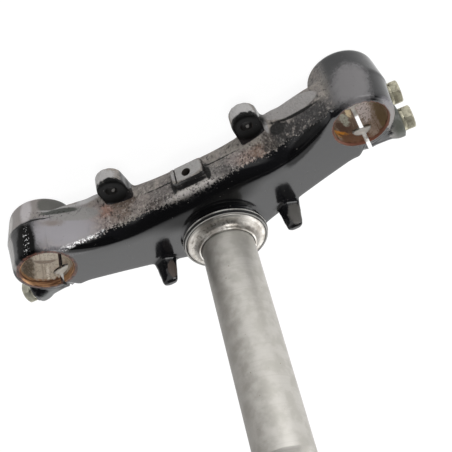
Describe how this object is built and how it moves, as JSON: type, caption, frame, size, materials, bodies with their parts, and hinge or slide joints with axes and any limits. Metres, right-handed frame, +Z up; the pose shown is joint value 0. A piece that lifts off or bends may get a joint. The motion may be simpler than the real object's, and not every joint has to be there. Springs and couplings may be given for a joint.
{
  "type": "motorcycle triple clamp",
  "caption": "Black cast lower fork yoke with slit pinch clamps at both ends, pressed-in steel steering stem, ball bearing race, dust seal, steering stops and front mounting bosses",
  "frame": {"origin": "On the steering stem's axis, in the plane of the yoke's flat top face", "axes": "+Z up along the steering stem, +X along the yoke towards the rider's left fork leg, -Y towards the front wheel"},
  "size_m": [0.2404, 0.0856, 0.219],
  "materials": {
    "black_paint": "worn gloss black paint over cast iron",
    "bare_stem": "ground steel tube, dull",
    "race_steel": "hardened bearing steel with ball marks",
    "seal_rubber": "black greasy rubber",
    "seal_plate": "thin steel washer, oily",
    "bolt_zinc": "olive zinc plating, worn"
  },
  "bodies": {
    "root": {"lower_yoke": "black_paint", "steering_stem": "bare_stem", "seal_washer": "seal_plate", "dust_seal": "seal_rubber", "bearing_race": "race_steel", "clamp_bolt_left_upper": "bolt_zinc", "clamp_bolt_left_lower": "bolt_zinc", "clamp_bolt_right_upper": "bolt_zinc", "clamp_bolt_right_lower": "bolt_zinc", "spring_washer_left_upper": "bolt_zinc", "spring_washer_left_lower": "bolt_zinc", "spring_washer_right_upper": "bolt_zinc", "spring_washer_right_lower": "bolt_zinc"}
  },
  "joints": []
}
